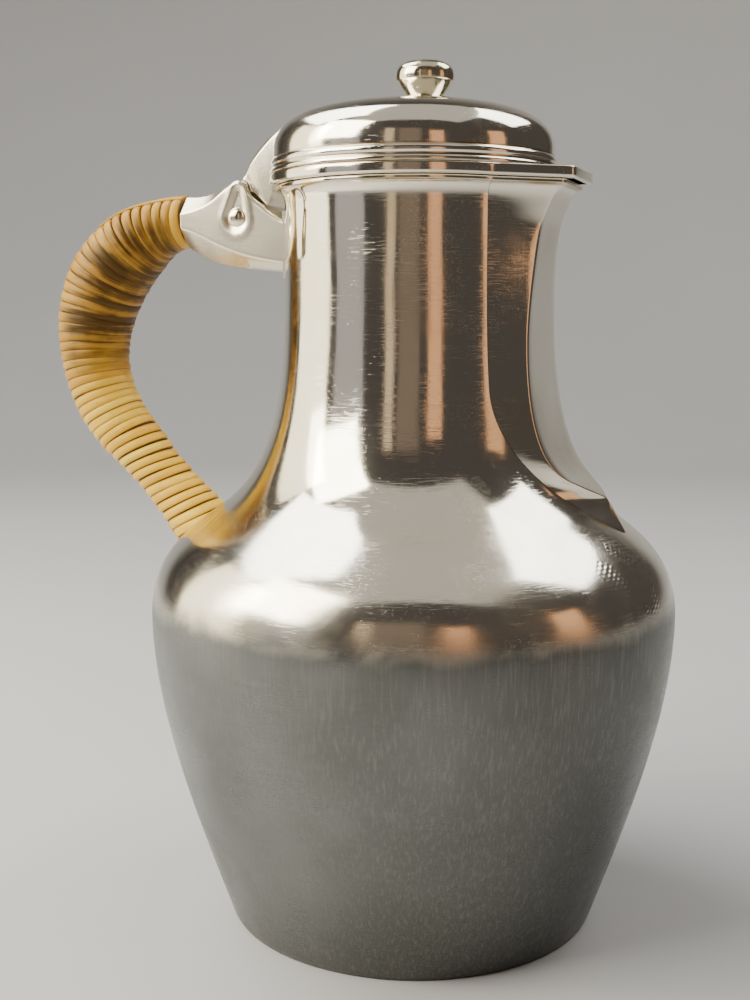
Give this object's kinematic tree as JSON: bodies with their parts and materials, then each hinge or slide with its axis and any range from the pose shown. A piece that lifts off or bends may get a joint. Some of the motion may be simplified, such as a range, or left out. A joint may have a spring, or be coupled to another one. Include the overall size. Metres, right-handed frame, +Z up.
{
  "type": "coffee pot",
  "caption": "Round-bellied silver coffee pot with a faceted spout, a hinged domed lid with a finial, and a cane-bound loop handle.",
  "frame": {"origin": "centre of the flat bottom, on the axis of the belly and neck", "axes": "+Z up along the pot's axis, +X towards the spout, -X towards the handle, hinge axis along Y"},
  "size_m": [0.1449, 0.1134, 0.1824],
  "materials": {
    "silver": "polished silver plate with fine scratches",
    "silver_warm": "polished silver, slightly yellower",
    "cane": "varnished split cane, wound in close turns",
    "wood": "dark stained hardwood"
  },
  "bodies": {
    "pot": {"body_shell": "silver", "base_disc": "silver", "spout": "silver", "mouth_rim": "silver", "socket_plate": "silver", "handle_socket": "silver", "hinge_knuckles_pot": "silver", "hinge_pin": "silver_warm", "socket_rivet": "silver_warm", "handle_core": "wood", "cane_binding": "cane", "handle_peg": "silver", "peg_pin": "silver_warm"},
    "lid": {"lid_dome": "silver", "lid_moulding": "silver", "lid_flange": "silver", "lid_bezel": "silver", "lid_leaf": "silver", "hinge_knuckle_lid": "silver", "finial": "silver_warm", "finial_washer": "silver_warm", "finial_nut": "silver_warm"}
  },
  "joints": [
    {"name": "lid_hinge", "type": "hinge", "parent": "pot", "child": "lid", "pos_m": [-0.0382, 0, 0.1578], "axis": [0, -1, 0], "range_deg": [0, 105]}
  ]
}
